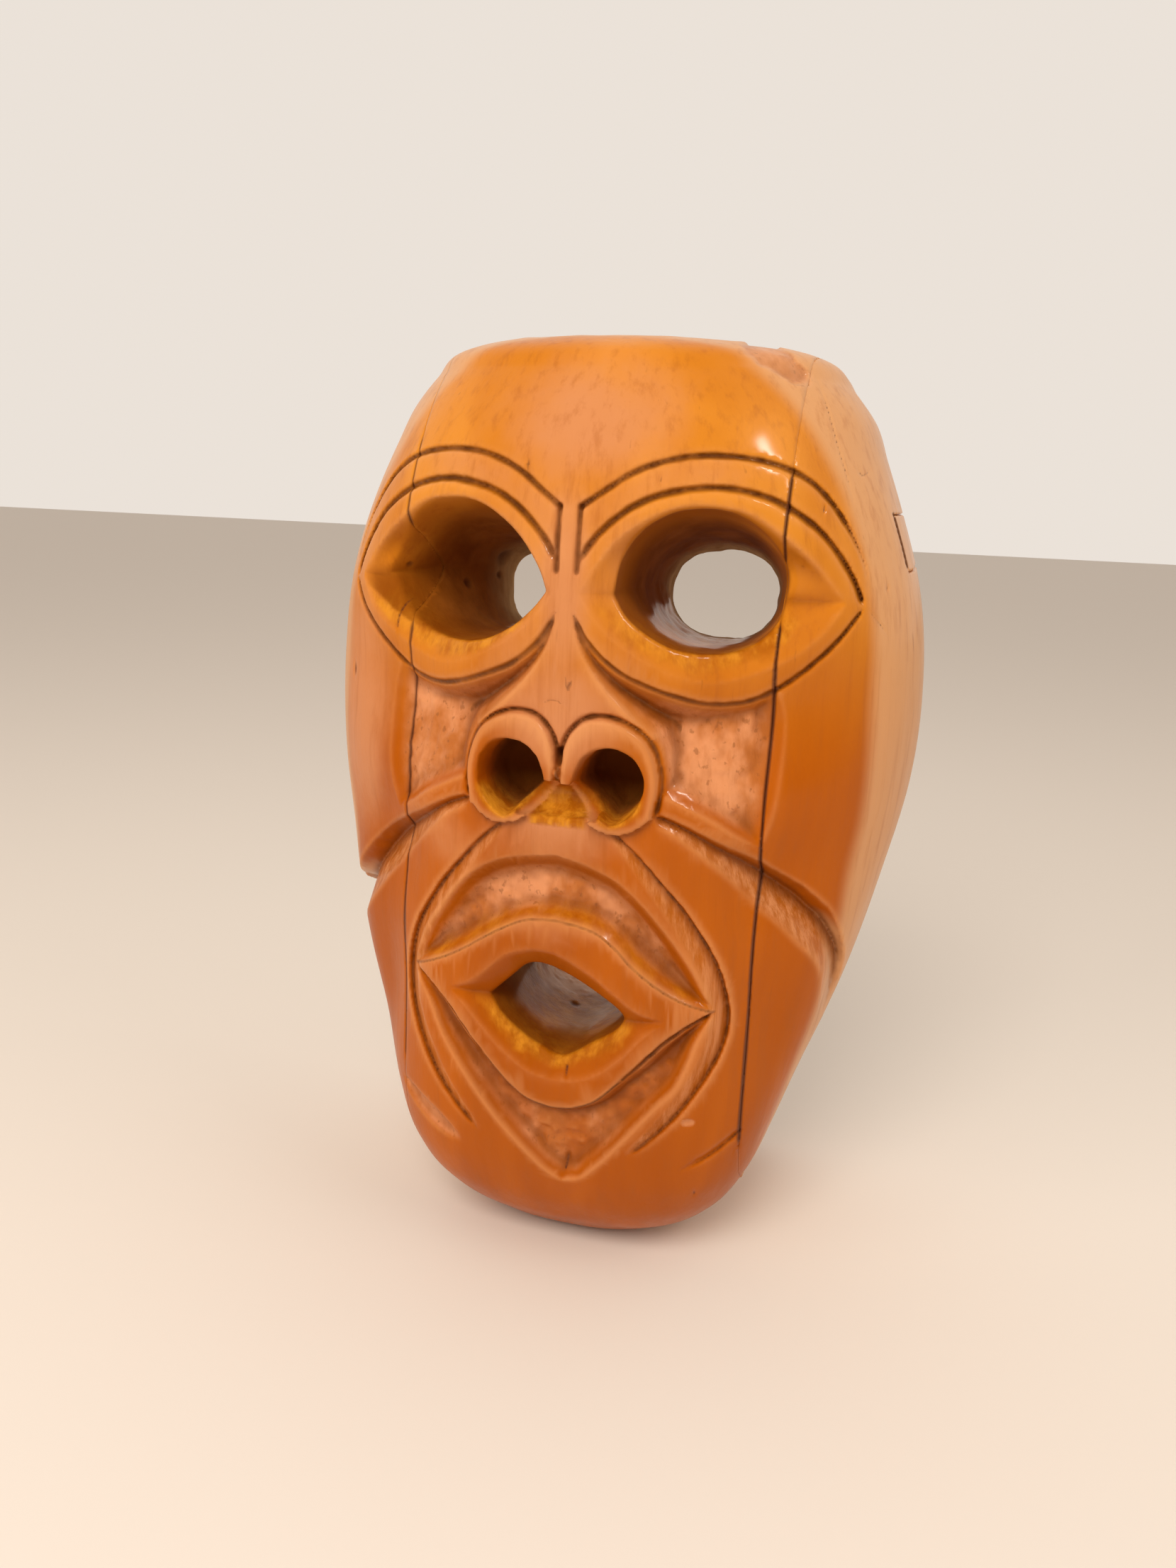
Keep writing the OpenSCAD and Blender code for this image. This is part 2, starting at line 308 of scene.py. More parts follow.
class Line:
    """A line on the plan: for every grid point within reach, the distance to it along the
    surface, how far along the line the nearest point is (0 to 1), and the side it lies on."""

    def __init__(self, points, reach=30.0, mirrored=False):
        p = through_points(points)
        if mirrored:
            p = p * [-1, 1]
        self.points = p
        s = on_plan(S, p[:, 0], p[:, 1])
        a = np.stack([s, p[:, 1]], 1)[:-1]
        b = np.stack([s, p[:, 1]], 1)[1:]
        seg = b - a
        seg_len = np.maximum(np.linalg.norm(seg, axis=1), 1e-6)
        start = np.concatenate([[0], np.cumsum(seg_len)])
        i0, i1 = np.searchsorted(xs, [p[:, 0].min() - reach, p[:, 0].max() + reach])
        j0, j1 = np.searchsorted(zs, [p[:, 1].min() - reach, p[:, 1].max() + reach])
        self.window = (slice(j0, j1), slice(i0, i1))
        gs, gz = S[self.window], Z[self.window]
        best = np.full(gs.shape, 1e6, np.float32)
        t = np.zeros(gs.shape, np.float32)
        side = np.zeros(gs.shape, np.float32)
        for k in range(len(seg)):
            ds, dz = gs - a[k, 0], gz - a[k, 1]
            u = np.clip((ds * seg[k, 0] + dz * seg[k, 1]) / seg_len[k] ** 2, 0, 1)
            d = np.hypot(ds - u * seg[k, 0], dz - u * seg[k, 1])
            nearer = d < best
            best = np.where(nearer, d, best)
            t = np.where(nearer, (start[k] + u * seg_len[k]) / start[-1], t)
            side = np.where(nearer, np.sign(seg[k, 0] * dz - seg[k, 1] * ds), side)
        self.d, self.t, self.side = best, t, side

    def full(self, values, fill):
        out = np.full(X.shape, fill, np.float32)
        out[self.window] = values
        return out

    def distance(self):
        return self.full(self.d, 60.0)


def inside(outline):
    """True for the grid points inside a closed outline."""
    p = np.asarray(outline)
    q = np.roll(p, -1, axis=0)
    hit = np.zeros(X.shape, bool)
    for (x0, z0), (x1, z1) in zip(p, q):
        if z0 == z1:
            continue
        cross = (Z > z0) != (Z > z1)
        hit ^= cross & (X < x0 + (Z - z0) * (x1 - x0) / (z1 - z0))
    return hit


def outline_of(*lines, mirrored=False):
    """Joins lines end to end into one closed outline."""
    flip = [-1, 1] if mirrored else [1, 1]
    return np.vstack([through_points(points) * flip for points in lines])


def signed(lines_, closed):
    """Distance to the nearest of the lines, negative inside the closed outline."""
    d = lines_[0].distance()
    for line in lines_[1:]:
        d = np.minimum(d, line.distance())
    return np.where(closed, -d, d)


# ---------------------------------------------------------------- cuts on the plan
depth = np.zeros(X.shape, np.float32)      # how far a cut goes into the wood, square to it
lines = np.full(X.shape, 60.0, np.float32)  # distance to the nearest dark line: engraved lines, and creases painted dark as shade
cracks = np.full(X.shape, 60.0, np.float32)  # distance to the nearest hairline crack
rough = np.zeros(X.shape, np.float32)      # floors left rough and pinkish
yellow = np.zeros(X.shape, np.float32)     # bare yellow wood near the openings
striate = np.zeros(X.shape, np.float32)    # cut flanks that show the knife's striations
worn_and_sheen = np.zeros(X.shape, np.float32)       # flats where the varnish has thinned, and on the forehead a painted sheen

rng = np.random.default_rng(7)
wobble = noise_2d(rng, xs, zs, (2.2, 2.2)) + 0.7 * noise_2d(rng, xs, zs, (6, 6))
patchy = 0.5 + 0.5 * noise_2d(rng, xs, zs, (9, 11))


def scoop(x, z, rx, rz, deep, tilt=0.0):
    """A broad shallow hollow on each side of the face."""
    global depth
    c, s = math.cos(math.radians(tilt)), math.sin(math.radians(tilt))
    for side in (-1, 1):
        dx, dz = X * side - x, Z - z
        u, v = (dx * c + dz * s) / rx, (dz * c - dx * s) / rz
        depth += deep * np.exp(-(u * u + v * v))


def fade_ends(t, ends):
    """1 along a line, down to 0 at its ends over the given shares of its length."""
    fade = np.ones_like(t)
    if ends[0] > 0:
        fade *= np.clip(t / ends[0], 0, 1)
    if ends[1] > 0:
        fade *= np.clip((1 - t) / ends[1], 0, 1)
    return fade


def engrave(line, deep, left_w, right_w, ends=(0.03, 0.03), dark=1.0):
    """A V-shaped cut along a line. left_w and right_w are its half widths on the two sides, and
    dark is how wide the dark line lies along it."""
    global depth, lines
    half = np.where(line.side > 0, left_w, right_w)
    fade = fade_ends(line.t, ends)
    d = line.d + 0.12 * wobble[line.window]
    v = np.clip(1 - d / (half * (0.35 + 0.65 * fade)), 0, 1) * deep * fade
    depth += line.full(v, 0)
    if np.any(dark > 0):
        lines = np.minimum(lines, line.full(np.maximum(d, 0) / dark + 1.0 * (1 - fade), 60))


def flank(line, side, width, ends=(0.05, 0.1), strength=1.0):
    """Marks the striated flank on one side of a cut."""
    global striate
    on = (line.side * side > 0) * step_up(0, 0.6, line.d) * (1 - step_up(0.8, 1.05, line.d / width))
    striate = np.maximum(striate, line.full(on * fade_ends(line.t, ends) * strength, 0))


def hairline(points, deep=0.5, wide=0.35):
    """A crack or scratch, thin and dark."""
    global depth, cracks
    line = Line(points, 4)
    fade = fade_ends(line.t, (0.2, 0.3))
    depth += line.full(np.clip(1 - line.d / (wide + 0.5 * VOXEL), 0, 1) * deep * fade, 0)
    cracks = np.minimum(cracks, line.full(line.d / (wide / 0.4) + 1.2 * (1 - fade), 60))


def hollow_between(closed, walls, floor, edge=1.0):
    """A hollow inside a closed outline. walls pairs each boundary line with its wall's slope."""
    global depth
    cut = np.full(X.shape, 1e3, np.float32)
    for line, slope in walls:
        cut = soft_min(cut, line.distance() * slope, edge)
    cut = soft_min(cut, floor, edge * 1.6)
    cut = np.where(closed, np.maximum(cut, 0), 0)
    depth += cut
    return cut


def bump_map(x, z, rx, rz):
    return np.exp(-(((X - x) / rx) ** 2 + ((Z - z) / rz) ** 2))


# the cheeks fall away under the eyes and beside the muzzle
scoop(55, 14, 22, 24, 8.0)
scoop(60, -36, 17, 20, 6.5, tilt=-25)
scoop(60, -84, 11, 30, 5.0)

# varnish thinned down the middle of the face and on the left cheek; the forehead patch is also a painted
# sheen
for x, z, rx, rz, much in ((2, 92, 32, 22, 0.95), (0, 48, 10, 34, 1.0), (0, 10, 22, 20, 0.95),
                           (0, -24, 26, 10, 0.9), (-36, -30, 14, 12, 0.6), (0, -55, 26, 6, 0.55),
                           (-76, 2, 17, 52, 0.95), (0, -130, 9, 9, 0.5)):
    worn_and_sheen = np.maximum(worn_and_sheen, much * bump_map(x, z, rx, rz))

socket_rims, socket_mouths = [], []
for mirrored in (False, True):
    brow_inner = Line(BROW_INNER, 8, mirrored)
    brow = Line(BROW, 8, mirrored)
    lid_up = Line(LID_UPPER, 12, mirrored)
    lid_low = Line(LID_LOWER, 30, mirrored)
    rim_up = Line(RIM_UPPER, 40, mirrored)
    rim_low = Line(RIM_LOWER, 40, mirrored)
    edge_points = SOCKET_MOUTH_L if mirrored else SOCKET_MOUTH_R
    edge_points = edge_points + edge_points[:1]
    mouth_edge = Line(edge_points, 40, mirrored)
    ring = Line(RING, 30, mirrored)
    bridge = Line(BRIDGE, 30, mirrored)
    ledge = Line(LEDGE, 40, mirrored)
    hollow_side = Line(HOLLOW_SIDE, 50, mirrored)
    outer = -1 if mirrored else 1           # the side of a line that looks away from the nose

    engrave(brow_inner, 1.6, 1.1, 1.1, ends=(0.05, 0), dark=1.1)
    engrave(brow, 1.7, 1.2, 1.2, ends=(0, 0.22), dark=1.25)
    engrave(lid_up, 2.0, 1.3, 1.5, ends=(0.03, 0.02), dark=1.4)
    engrave(lid_low, 1.6, 1.0, 1.2, ends=(0.05, 0.02), dark=1.1)
    band = inside(outline_of(BROW, LID_UPPER[::-1], mirrored=mirrored))
    worn_and_sheen = np.maximum(worn_and_sheen, 0.6 * blur(band.astype(np.float32), 1.5) * (1 - step_up(40, 62, np.abs(X))))
    lids = inside(outline_of(LID_UPPER, LID_LOWER[::-1], mirrored=mirrored))
    worn_and_sheen = np.maximum(worn_and_sheen, 0.5 * blur(lids.astype(np.float32), 1.5) * (1 - step_up(14, 40, np.abs(X))))

    # the bevel inside the lids, steep above and easy below
    rim_closed = inside(outline_of(RIM_UPPER, RIM_LOWER[::-1], mirrored=mirrored))
    rim_sd = signed([rim_up, rim_low], rim_closed)
    slope = 0.62 + 0.5 * step_up(46, 58, Z)
    depth += np.where(rim_closed, np.minimum(slope * soft_max(-rim_sd, np.zeros_like(rim_sd), 1.2), 9), 0)
    mouth_sd = signed([mouth_edge], inside(outline_of(edge_points, mirrored=mirrored)))
    low_half = 1 - step_up(34, 46, Z)
    near = (1 - step_up(2.5, 5.5, mouth_sd + 1.2 * wobble)) * (rim_sd < -1)
    yellow = np.maximum(yellow, near * low_half * (0.55 + 0.45 * patchy))
    socket_rims.append(rim_sd)
    socket_mouths.append(mouth_sd)

    # the gouged hollow under the eye, deepest in a slot beside the bridge of the nose
    closed = inside(outline_of(LID_LOWER[:9], HOLLOW_SIDE[::-1], LEDGE[::-1], RING[1:6],
                               BRIDGE[::-1], mirrored=mirrored))
    reach = np.hypot((np.abs(X) - 18) / 34, (Z - 16) / 34)
    floor = 10.5 - 6.6 * step_up(0.1, 1.0, reach) + 0.4 * wobble
    cut = hollow_between(closed, [(lid_low, 1.25), (ring, 1.6), (bridge, 1.7), (ledge, 1.1),
                                  (hollow_side, 0.6)], floor, 1.0)
    rough = np.maximum(rough, step_up(1.5, 4, cut) * (0.45 + 0.55 * step_up(16, 34, np.abs(X))))
    # a dark line along the slot's crease, where the lid's wall meets the bridge's: painted shade
    crease = np.abs(1.25 * lid_low.distance() - 1.7 * bridge.distance()) / 1.5
    shown = closed & (np.abs(X) < 33)
    lines = np.minimum(lines, np.where(shown, 0.35 + 0.35 * crease + 0.2 * wobble, 60))

    # the raised ring round the nostril
    ring_closed = inside(outline_of(RING, [(0.2, -2.5), (0, -8), (10, -20), (20, -22), (28.3, -16.5)],
                                    mirrored=mirrored))
    depth += np.where(ring_closed, -2.2 * step_up(0, 1.6, ring.distance()), 0)
    engrave(ring, 1.7, 0.9, 1.1, ends=(0.02, 0.02), dark=0.75)

    # the fold from the nose to the jaw's side: a dark upper wall and a pale lower bevel
    fold = Line(FOLD_LEFT if mirrored else FOLD_RIGHT, 14, mirrored)
    upper = 1.6 + 6.5 * step_up(0, 0.75, fold.t)
    lower = 2.0 + 5.5 * step_up(0, 0.5, fold.t)
    left_w, right_w = (lower, upper) if mirrored else (upper, lower)
    end = 0.15 if mirrored else 0.4
    engrave(fold, 2.6 + 3.2 * step_up(0, 0.5, fold.t), left_w, right_w, ends=(0.02, end), dark=0)
    # a dark line along the fold's bottom, fading towards its end: painted shade
    lines = np.minimum(lines, fold.full(fold.d * 1.3 + 0.3 + 3 * step_up(0.35, 0.75, fold.t), 60))
    flank(fold, -outer, lower, ends=(0.04, 0.45))

    # the long wedge cut round the mouth: a thin steep outer wall and a wide inner flank
    smile = Line(SMILE, 12, mirrored)
    swell = np.clip(np.sin(np.pi * smile.t), 0, 1) ** 0.7
    steep, easy = 0.7 + 0.5 * swell, 1.3 + 4.4 * swell
    left_w, right_w = (easy, steep) if mirrored else (steep, easy)
    engrave(smile, 0.9 + 1.9 * swell, left_w, right_w, ends=(0.02, 0.04), dark=0.7)
    flank(smile, -outer, easy, ends=(0.03, 0.06), strength=0.8)

# the vertical cut between the nose rings
notch = Line([(0.2, 0), (0, -5), (-0.3, -9.5)], 6)
engrave(notch, 3.2, 1.5, 1.5, ends=(0, 0), dark=0.9)

# the mouth
crescent = [Line(CRESCENT_L, 45), Line(CRESCENT_R, 45)]
lip_top = [Line(LIP_TOP_L, 40), Line(LIP_TOP_R, 40)]
lip_low = [Line(LIP_LOW_L, 50), Line(LIP_LOW_R, 50)]
chin = [Line(CHIN_L, 40), Line(CHIN_R, 40)]
rim_top = [Line(RIM_TOP_L, 45), Line(RIM_TOP_R, 45)]
rim_bottom = [Line(RIM_LOW_L, 45), Line(RIM_LOW_R, 45)]
hole = Line(MOUTH_HOLE + MOUTH_HOLE[:1], 40)


class Pair:
    """Two lines that share an end, taken as one."""

    def __init__(self, two):
        self.two = two

    def distance(self):
        return np.minimum(self.two[0].distance(), self.two[1].distance())


closed = inside(outline_of(CRESCENT_L[::-1], CRESCENT_R, LIP_TOP_R[::-1], LIP_TOP_L))
cut = hollow_between(closed, [(Pair(crescent), 1.05), (Pair(lip_top), 1.5)], 6.6 + 0.4 * wobble, 1.2)
from_lip = Pair(lip_top).distance()
rough = np.maximum(rough, step_up(3.5, 5.5, cut))
yellow = np.maximum(yellow, np.where(closed, 0.75 * (1 - step_up(2.5, 6, from_lip + wobble)) * patchy, 0))
closed = inside(outline_of(LIP_LOW_L[::-1], LIP_LOW_R, CHIN_R[::-1], CHIN_L))
cut = hollow_between(closed, [(Pair(chin), 1.4), (Pair(lip_low), 1.9)], 5.8 + 0.5 * wobble, 0.8)
rough = np.maximum(rough, 0.85 * step_up(1.8, 4.2, cut) * (0.5 + 0.5 * step_up(0.35, 0.6, patchy)))
for line in lip_top:
    lines = np.minimum(lines, line.full(line.d * 1.6 + 0.15, 60))
for line in lip_low:
    slit = 0.6 + 0.4 * step_up(0.35, 0.75, line.t)
    engrave(line, 2.6 * step_up(0.25, 0.7, line.t), 0.9, 0.9, ends=(0, 0.05), dark=slit)
mouth_closed = inside(outline_of(RIM_TOP_L[::-1], RIM_TOP_R, RIM_LOW_R[::-1], RIM_LOW_L))
mouth_rim = signed(rim_top + rim_bottom, mouth_closed)
depth += np.where(mouth_closed, np.minimum(0.8 * soft_max(-mouth_rim, np.zeros_like(mouth_rim), 1.2), 8), 0)
mouth_hole = signed([hole], inside(outline_of(MOUTH_HOLE + MOUTH_HOLE[:1])))
near = (1 - step_up(2.0, 4.5, mouth_hole + 0.9 * wobble)) * (mouth_rim < -1) * (1 - step_up(-86, -78, Z))
yellow = np.maximum(yellow, near * (0.6 + 0.4 * patchy))

# bare wood in the lower half of the nostrils
nostril_sd = [signed([Line(NOSTRIL + NOSTRIL[:1], 20, m)],
                     inside(outline_of(NOSTRIL + NOSTRIL[:1], mirrored=m))) for m in (False, True)]
nose_sd = np.minimum(*nostril_sd)
bare = (1 - step_up(-13.5, -10.5, Z)) * (1 - step_up(-0.5, 1.0, np.minimum(nose_sd, np.abs(X) - 8)))
yellow = np.maximum(yellow, bare * (Z > -22))

# the glue lines show as cracks that come and go: seam, then the heights between which it shows
for seam, shown in ((SEAM_LEFT, ((-116, 37), (55, 92))), (SEAM_RIGHT, ((-128, 43), (50, 84)))):
    across = np.abs(S - on_plan(S, np.full(len(zs), seam), zs.astype(float))[:, None])
    seen = sum(step_up(a, a + 7, Z) * (1 - step_up(b - 7, b, Z)) for a, b in shown)
    age = 0.5 + 0.5 * noise_2d(rng, xs, zs, (60, 14))
    depth += seen * (0.5 + 0.4 * age) * np.clip(1 - across / (0.4 + 0.3 * age), 0, 1)
    cracks = np.minimum(cracks, across * (0.42 + 0.38 * age) + 1.3 * (1 - seen))

# wear: cracks, scratches, flecks, a flake off the crown, a shaved facet and a stray cut by the jaw
for points in CRACKS:
    hairline(points, 0.7, 0.4)
for points in SCRATCHES:
    hairline(points, 0.35, 0.3)
for x, z, size in FLECKS:
    r = np.hypot((X - x) / (0.25 * size), (Z - z) / size)
    depth += 0.6 * np.clip(1 - r, 0, 1)
    cracks = np.minimum(cracks, r * 0.8)
along = (X - FLAKE_X) * 0.85 - (Z - FLAKE_Z) * 0.53
across = (X - FLAKE_X) * 0.53 + (Z - FLAKE_Z) * 0.85
flake = np.hypot(along / 12.5, across / 4.0) + 0.12 * wobble
depth += 1.2 * (1 - step_up(0.8, 1.0, flake))
rough = np.maximum(rough, 0.7 * (1 - step_up(0.8, 1.0, flake)) * (Z < 115))
worn_and_sheen = np.maximum(worn_and_sheen, 1 - step_up(0.9, 1.2, flake))
cracks = np.minimum(cracks, np.where(along > 3, 0.35 + 9 * np.abs(flake - 1.0), 60))
facet = np.hypot((X + 43) / 13, (Z + 125.5 + 0.55 * (X + 43)) / 4.2)
depth += 1.8 * (1 - step_up(0.55, 1.0, facet))
rough = np.maximum(rough, 0.8 * (1 - step_up(0.7, 1.0, facet)))
stray = Line([(40, -131), (49, -125.5), (58, -118)], 6)
engrave(stray, 1.3, 2.4, 0.8, ends=(0.3, 0.1), dark=0.6)
dent = np.hypot((X - 42.5) / 2.2, (Z + 112.5) / 1.5)
depth += 0.9 * np.clip(1 - dent, 0, 1)
worn_and_sheen = np.maximum(worn_and_sheen, 0.8 * (1 - step_up(0.8, 1.2, dent)))


# ---------------------------------------------------------------- the solid field
def outer_form(j):
    """Distance outside the outer form on some layers, roughly in millimetres."""
    w = half_w[j][:, None, None]
    n = square[j][:, None, None]
    side = side_y[j][:, None, None]
    span = (side_y - front_y)[j][:, None, None]
    ax = np.abs(xs[None, None, :]) / w
    ay = np.maximum(side - ys[None, :, None], 0) / span
    r = np.maximum(ax**n + ay**n, 1e-4) ** (1 / n)
    slope = np.sqrt((ax ** (n - 1) / w) ** 2 + (ay ** (n - 1) / span) ** 2) * r ** (1 - n)
    return (r - 1) / np.maximum(slope, 1 / 120)


def tunnel(opening, exit_, y_from, y_to, y):
    """A tunnel whose outline changes evenly from one plan outline to another on the way in."""
    t = np.clip((y - y_from) / (y_to - y_from), 0, 1)
    return opening * (1 - t) + exit_ * t


def oval(x, z, rx, rz, n=2.0):
    """Distance to a rounded hole's edge, negative inside; n makes it squarer."""
    r = (np.abs((X - x) / rx) ** n + np.abs((Z - z) / rz) ** n) ** (1 / n)
    return ((r - 1) * min(rx, rz)).astype(np.float32)


exits = [oval(*EXIT_RIGHT), oval(*EXIT_LEFT)]
mouth_exit = oval(0, -84, 21, 15, 2.4)


def convex(points):
    """The convex outline round some points."""
    points = sorted(map(tuple, points))

    def chain(run):
        out = []
        for p in run:
            while len(out) > 1 and ((out[-1][0] - out[-2][0]) * (p[1] - out[-2][1])
                                    <= (out[-1][1] - out[-2][1]) * (p[0] - out[-2][0])):
                out.pop()
            out.append(p)
        return out[:-1]

    return np.array(chain(points) + chain(points[::-1]))


def round_hull(circles):
    """Distance to the convex shape round some circles, (x, z, r), negative inside it."""
    turn = np.linspace(0, 2 * np.pi, 48, endpoint=False)
    hull = convex([(x + r * np.cos(t), z + r * np.sin(t)) for x, z, r in circles for t in turn])
    d = np.full(X.shape, 1e3, np.float32)
    for a, b in zip(hull, np.roll(hull, -1, axis=0)):
        e = b - a
        u = np.clip(((X - a[0]) * e[0] + (Z - a[1]) * e[1]) / (e @ e), 0, 1)
        d = np.minimum(d, np.hypot(X - a[0] - u * e[0], Z - a[1] - u * e[1]))
    return np.where(inside(hull), -d, d)


hollow_sd = round_hull([(42, 42, 34), (-42, 42, 34), (20, -104, 28), (-20, -104, 28)])

# gouge marks: overlapping long scallops on the hollow's floor
scallop = np.full(X.shape, 1.0, np.float32)
for gx in np.arange(-80, 81, 8.5):
    for gz in np.arange(-135, 80, 19.0):
        cx, cz = gx + rng.uniform(-2.5, 2.5), gz + rng.uniform(-7, 7)
        rx, rz = rng.uniform(6, 8.5), rng.uniform(15, 24)
        lean = rng.uniform(-0.15, 0.15)
        i0, i1 = np.searchsorted(xs, [cx - 2 * rx, cx + 2 * rx])
        j0, j1 = np.searchsorted(zs, [cz - 1.2 * rz, cz + 1.2 * rz])
        dx = X[j0:j1, i0:i1] - cx - lean * (Z[j0:j1, i0:i1] - cz)
        v = (dx / rx) ** 2 + ((Z[j0:j1, i0:i1] - cz) / rz) ** 2 + rng.uniform(-0.15, 0.15)
        scallop[j0:j1, i0:i1] = np.minimum(scallop[j0:j1, i0:i1], v)
scallop = np.clip(scallop, -0.2, 1)

noise_fine = noise_3d(rng, xs, ys, zs, (1.9, 2.1, 2.6))
noise_mid = noise_3d(rng, xs, ys, zs, (6.5, 7.0, 9.0))


def layers(j):
    """The whole mask's field on some layers, negative in the wood."""
    y = ys[None, :, None]
    z = zs[j][:, None, None]
    x = xs[None, None, :]
    mid, fine = noise_mid[j], noise_fine[j]
    f = outer_form(j)
    f = soft_max(f, z - CROWN_Z + 0.3 * mid, 5.0)
    f = soft_max(f, CHIN_Z - z, 4.0)
    f = f + depth[j][:, None, :] + rough[j][:, None, :] * (0.42 * mid + 0.34 * fine)
    f = f + yellow[j][:, None, :] * (0.10 * mid + 0.22 * fine)
    f = soft_max(f, y - BACK_Y, 2.0)
    wall = hollow_sd[j][:, None, :]
    floor = HOLLOW_Y + 1.0 * scallop[j][:, None, :] - y
    bowl = soft_max(wall + 0.8 * mid, floor, 16.0)
    f = soft_max(f, -bowl, 1.5)
    raw = step_up(22, 58, y)
    for k in (0, 1):
        tube = tunnel(socket_mouths[k][j][:, None, :], exits[k][j][:, None, :], 2.0, EYE_EXIT_Y, y)
        f = soft_max(f, -(tube + (0.15 + 0.35 * raw) * mid + (0.05 + 0.2 * raw) * fine), 1.2)
        holes = nostril_sd[k][j][:, None, :] + 0.8
        pit = soft_max(holes + 0.10 * (y + 10), y - 13, 6.0)
        f = soft_max(f, -(pit + 0.3 * mid + 0.2 * fine), 0.9)
    trough = np.maximum(np.hypot(z + 13.8, (y + 11) * 0.72) - 5.3, np.abs(x) - 12)
    f = soft_max(f, -(trough + 0.4 * mid + 0.3 * fine), 1.0)
    tube = tunnel(mouth_hole[j][:, None, :], mouth_exit[j][:, None, :], 0.0, MOUTH_EXIT_Y, y)
    f = soft_max(f, -(tube + (0.1 + 0.5 * raw) * mid + (0.05 + 0.3 * raw) * fine), 1.2)
    for kx, ky, kz, r in KNOTS:
        f = f + 1.6 * np.clip(1 - np.sqrt((x - kx) ** 2 + (y - ky) ** 2 + (z - kz) ** 2) / r, 0, 1)
    nail = np.maximum(np.hypot(x, z - HANG[2]) - NAIL_R, BACK_Y - NAIL_DEPTH - y)
    return np.maximum(f, -nail).astype(np.float32)


field = np.empty((len(zs), len(ys), len(xs)), np.float32)


def fill(start):
    j = np.arange(start, min(start + 8, len(zs)))
    field[j] = layers(j)


with ThreadPoolExecutor(4) as pool:
    list(pool.map(fill, range(0, len(zs), 8)))


# ---------------------------------------------------------------- from field to mesh
def surface(f, origin):
    """A closed mesh of quads where the field changes sign (naive surface nets)."""
    f = np.pad(f, 1, constant_values=5.0)
    origin = np.asarray(origin, float) - VOXEL
    sign = f < 0
    nz, ny, nx = f.shape
    count = np.zeros((nz - 1, ny - 1, nx - 1), np.uint8)
    for c in range(8):
        dz, dy, dx = c >> 2, (c >> 1) & 1, c & 1
        count += sign[dz:nz - 1 + dz, dy:ny - 1 + dy, dx:nx - 1 + dx]
    cells = np.flatnonzero((count > 0) & (count < 8))
    cz, cy, cx = np.unravel_index(cells, count.shape)
    corner = np.empty((8, len(cells)), np.float32)
    for c in range(8):
        corner[c] = f[cz + (c >> 2), cy + ((c >> 1) & 1), cx + (c & 1)]
    total = np.zeros((len(cells), 3))
    hits = np.zeros(len(cells))
    for a in range(8):
        for axis, bit in ((0, 1), (1, 2), (2, 4)):
            b = a | bit
            if b == a:
                continue
            va, vb = corner[a], corner[b]
            hit = (va < 0) != (vb < 0)
            u = np.where(hit, va / np.where(hit, va - vb, 1), 0)
            p = np.stack([np.full(len(cells), a & 1, float), np.full(len(cells), (a >> 1) & 1, float),
                          np.full(len(cells), a >> 2, float)], 1)
            p[:, axis] += u
            total += p * hit[:, None]
            hits += hit
    verts = total / hits[:, None] + np.stack([cx, cy, cz], 1)
    verts = verts * VOXEL + origin
    index = np.full(count.shape, -1, np.int32)
    index.ravel()[cells] = np.arange(len(cells), dtype=np.int32)
    quads = []
    for axis in range(3):
        lo = [slice(1, -1)] * 3
        hi = [slice(1, -1)] * 3
        lo[axis] = slice(0, -1)
        hi[axis] = slice(1, None)
        a, b = sign[tuple(lo)], sign[tuple(hi)]
        for flag, flip in ((a & ~b, False), (~a & b, True)):
            at = list(np.nonzero(flag))
            for k in range(3):
                if k != axis:
                    at[k] = at[k] + 1
            u, v = [k for k in range(3) if k != axis]
            ring_ = []
            for du, dv in ((0, 0), (1, 0), (1, 1), (0, 1)):
                q = list(at)
                q[u] = q[u] - du
                q[v] = q[v] - dv
                ring_.append(index[tuple(q)])
            ring_ = np.stack(ring_, 1)
            turn = flip ^ (axis == 1)
            quads.append(ring_ if turn else ring_[:, ::-1])
    return verts, np.vstack(quads)


def make_mesh(name, verts, quads):
    mesh = bpy.data.meshes.new(name)
    mesh.vertices.add(len(verts))
    mesh.vertices.foreach_set("co", (verts * MM).astype(np.float32).ravel())
    mesh.loops.add(quads.size)
    mesh.loops.foreach_set("vertex_index", quads.astype(np.int32).ravel())
    mesh.polygons.add(len(quads))
    mesh.polygons.foreach_set("loop_start", np.arange(0, quads.size, 4, dtype=np.int32))
    mesh.polygons.foreach_set("loop_total", np.full(len(quads), 4, np.int32))
    mesh.update(calc_edges=True)
    mesh.validate()
    return mesh


def thin_out(obj, faces):
    """Leaves out triangles where the surface is flat, to stay under a number of triangles."""
    have = sum(len(p.vertices) - 2 for p in obj.data.polygons)
    if have <= faces:
        return
    mod = obj.modifiers.new("thin", "DECIMATE")
    mod.ratio = faces / have
    depsgraph = bpy.context.evaluated_depsgraph_get()
    mesh = bpy.data.meshes.new_from_object(obj.evaluated_get(depsgraph))
    obj.modifiers.clear()
    obj.data = mesh


def block(name, x0, x1, pockets=()):
    """One block of the mask, between two upright planes, less the pockets cut in it."""
    i0 = max(int(np.searchsorted(xs, x0)) - 2, 0)
    i1 = min(int(np.searchsorted(xs, x1)) + 2, len(xs))
    x = xs[None, None, i0:i1]
    f = np.maximum(field[:, :, i0:i1], np.maximum(x0 - x, x - x1))
    for pocket in pockets:
        pocket(f, i0, i1)
    verts, quads = surface(f, (xs[i0], ys[0], zs[0]))
    for plane in (x0, x1):
        if abs(plane) < HALF_W:
            square_edge(verts, plane)
    return piece_from(name, verts, quads)


def piece_from(name, verts, quads):
    obj = bpy.data.objects.new(name, make_mesh(name, verts - HANG, quads))
    bpy.context.scene.collection.objects.link(obj)
    thin_out(obj, MAX_FACES)
    obj.data.shade_smooth()
    return obj


